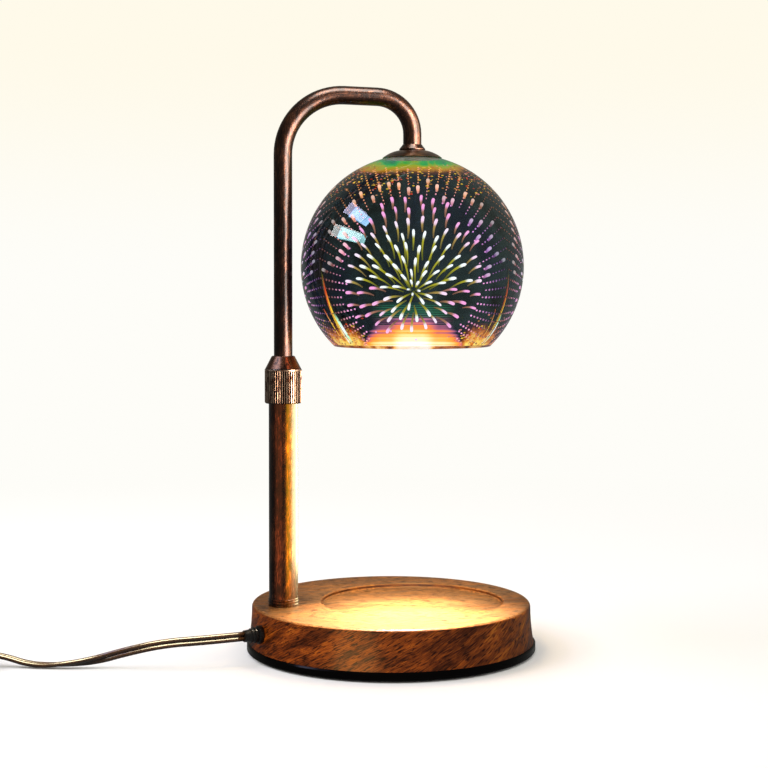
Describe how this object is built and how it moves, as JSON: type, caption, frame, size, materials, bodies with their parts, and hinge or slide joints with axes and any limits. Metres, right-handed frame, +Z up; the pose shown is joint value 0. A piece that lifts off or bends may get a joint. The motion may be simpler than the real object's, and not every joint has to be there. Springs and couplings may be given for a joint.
{
  "type": "candle warmer lamp",
  "caption": "Table lamp on a round wood base whose height-adjustable swing arm hangs a glass globe shade over a jar candle to melt it.",
  "frame": {"origin": "centre of the round base, on the surface the lamp stands on", "axes": "+Z up; the post stands at -X and the shade hangs over +X; the cord leaves towards -X"},
  "size_m": [0.4132, 0.15, 0.2918],
  "materials": {
    "walnut": "lacquered walnut veneer",
    "black_plate": "gloss black enamel",
    "zinc_steel": "zinc plated",
    "black_rubber": "moulded rubber",
    "antique_bronze": "antique bronze plating, rubbed",
    "antique_copper": "antique copper plating, knurled",
    "plain_brass": "turned",
    "white_nylon": "moulded",
    "inner_wire": "insulated wire",
    "brown_flex": "gloss PVC twin flex",
    "black_plastic": "moulded, gloss",
    "circuit_board": "printed circuit board",
    "clear_glass": "clear blown glass",
    "dark_mirror_glass": "metallised from inside, dark half-mirror",
    "glazed_ceramic": "glazed ceramic",
    "clear_silicone": "silicone",
    "nickel": "nickel plated",
    "reflector_glass": "aluminised glass reflector"
  },
  "bodies": {
    "base": {"wood_base": "walnut", "base_plate": "black_plate", "plate_screws": "zinc_steel", "rubber_foot_1": "black_rubber", "rubber_foot_2": "black_rubber", "rubber_foot_3": "black_rubber", "rubber_foot_4": "black_rubber", "post_nipple": "zinc_steel", "post_washer": "zinc_steel", "post_nut": "zinc_steel", "foot_collar": "antique_bronze", "lower_tube": "antique_bronze", "tube_ferrule": "plain_brass", "split_collet": "plain_brass", "slack_lead": "inner_wire", "terminal_block": "white_nylon", "terminal_screws": "zinc_steel", "mains_tail": "brown_flex", "riser_lead": "inner_wire", "cord_gland": "black_plastic", "mains_cord": "brown_flex", "cord_link": "brown_flex", "cord_end": "brown_flex", "cord_coil": "brown_flex", "dimmer_case_bottom": "black_plastic", "dimmer_case_top": "black_plastic", "dimmer_screws": "zinc_steel", "dimmer_board": "circuit_board", "dimmer_control": "black_plastic", "plug_body": "black_plastic", "plug_blades": "plain_brass"},
    "clamp_nut": {"clamp_nut": "antique_copper"},
    "carriage": {"guide_bush": "white_nylon"},
    "arm": {"arm_tube": "antique_bronze", "snap_ring": "zinc_steel", "neck_collar": "antique_bronze", "arm_lead": "inner_wire", "shade_outer_glass": "clear_glass", "shade_inner_glass": "dark_mirror_glass", "shade_rim": "dark_mirror_glass", "glass_spacer": "clear_silicone", "shade_cap": "antique_bronze", "cap_gasket": "black_rubber", "seat_gasket": "black_rubber", "seat_washer": "zinc_steel", "shade_nut": "zinc_steel", "shade_nipple": "zinc_steel", "holder_bridge": "zinc_steel", "bridge_screws": "zinc_steel", "lampholder": "glazed_ceramic"},
    "bulb": {"bulb_base": "glazed_ceramic", "bulb_pins": "nickel", "bulb_reflector": "reflector_glass", "bulb_lens": "clear_glass", "bulb_capsule": "clear_glass"},
    "dial": {"dimmer_dial": "black_plastic", "dial_shaft": "black_plastic"}
  },
  "joints": [
    {"name": "height_slide", "type": "slide", "parent": "base", "child": "carriage", "axis": [0, 0, 1], "range_m": [-0.045, 0.016], "deforming": ["slack_lead"]},
    {"name": "arm_swivel", "type": "hinge", "parent": "carriage", "child": "arm", "pos_m": [-0.0565, 0, 0.1], "axis": [0, 0, 1], "range_deg": [-175, 175]},
    {"name": "clamp_nut_turn", "type": "hinge", "parent": "base", "child": "clamp_nut", "pos_m": [-0.0565, 0, 0.14], "axis": [0, 0, 1], "range_deg": [0, 270]},
    {"name": "bulb_twist", "type": "hinge", "parent": "arm", "child": "bulb", "pos_m": [0.0112, 0, 0.2], "axis": [0, 0, 1], "range_deg": [-30, 0]},
    {"name": "dimmer_turn", "type": "hinge", "parent": "base", "child": "dial", "pos_m": [-0.241, 0, 0.02], "axis": [0, 0, 1], "range_deg": [-135, 135]}
  ]
}
